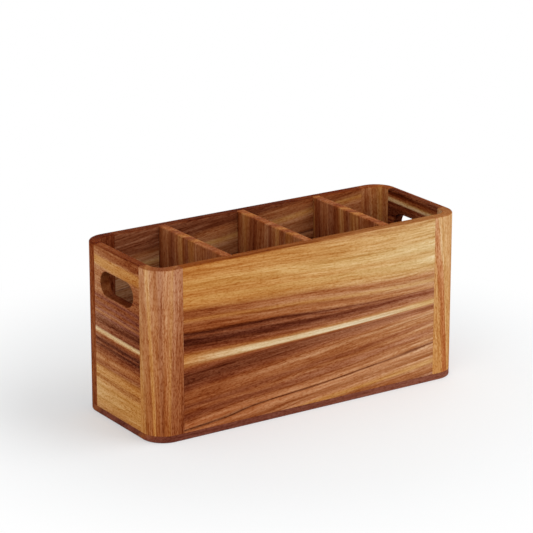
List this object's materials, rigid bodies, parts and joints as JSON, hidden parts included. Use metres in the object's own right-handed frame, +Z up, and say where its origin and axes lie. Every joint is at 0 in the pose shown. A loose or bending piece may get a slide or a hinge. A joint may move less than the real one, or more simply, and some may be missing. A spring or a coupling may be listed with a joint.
{
  "type": "utensil holder",
  "caption": "Long open wooden box with rounded corner posts, a hand slot in each end and lift-out dividers in grooves, which keeps upright cooking utensils sorted on a worktop.",
  "frame": {"origin": "middle of the underside, on the surface that the holder stands on", "axes": "+Z up, +X along the length from the left end to the right end, front panel facing -Y"},
  "size_m": [0.344, 0.131, 0.165],
  "materials": {
    "acacia_panel": "satin oiled, horizontal grain with a sapwood stripe",
    "acacia_post": "satin oiled, upright grain",
    "acacia_base": "satin oiled, dark reddish brown",
    "acacia_divider": "satin oiled, upright grain",
    "beech_dowel": "plain turned",
    "zinc_screw": "zinc plated"
  },
  "bodies": {
    "carcass": {"base_board": "acacia_base", "front_panel": "acacia_panel", "back_panel": "acacia_panel", "left_end_panel": "acacia_panel", "right_end_panel": "acacia_panel", "front_left_post": "acacia_post", "front_right_post": "acacia_post", "back_left_post": "acacia_post", "back_right_post": "acacia_post", "corner_dowels": "beech_dowel", "base_screws": "zinc_screw"},
    "left_divider": {"left_divider": "acacia_divider"},
    "middle_divider": {"middle_divider": "acacia_divider"},
    "right_divider": {"right_divider": "acacia_divider"}
  },
  "joints": [
    {"name": "left_divider_lift", "type": "slide", "parent": "carcass", "child": "left_divider", "axis": [0, 0, 1], "range_m": [0, 0.15]},
    {"name": "middle_divider_lift", "type": "slide", "parent": "carcass", "child": "middle_divider", "axis": [0, 0, 1], "range_m": [0, 0.15]},
    {"name": "right_divider_lift", "type": "slide", "parent": "carcass", "child": "right_divider", "axis": [0, 0, 1], "range_m": [0, 0.15]}
  ]
}
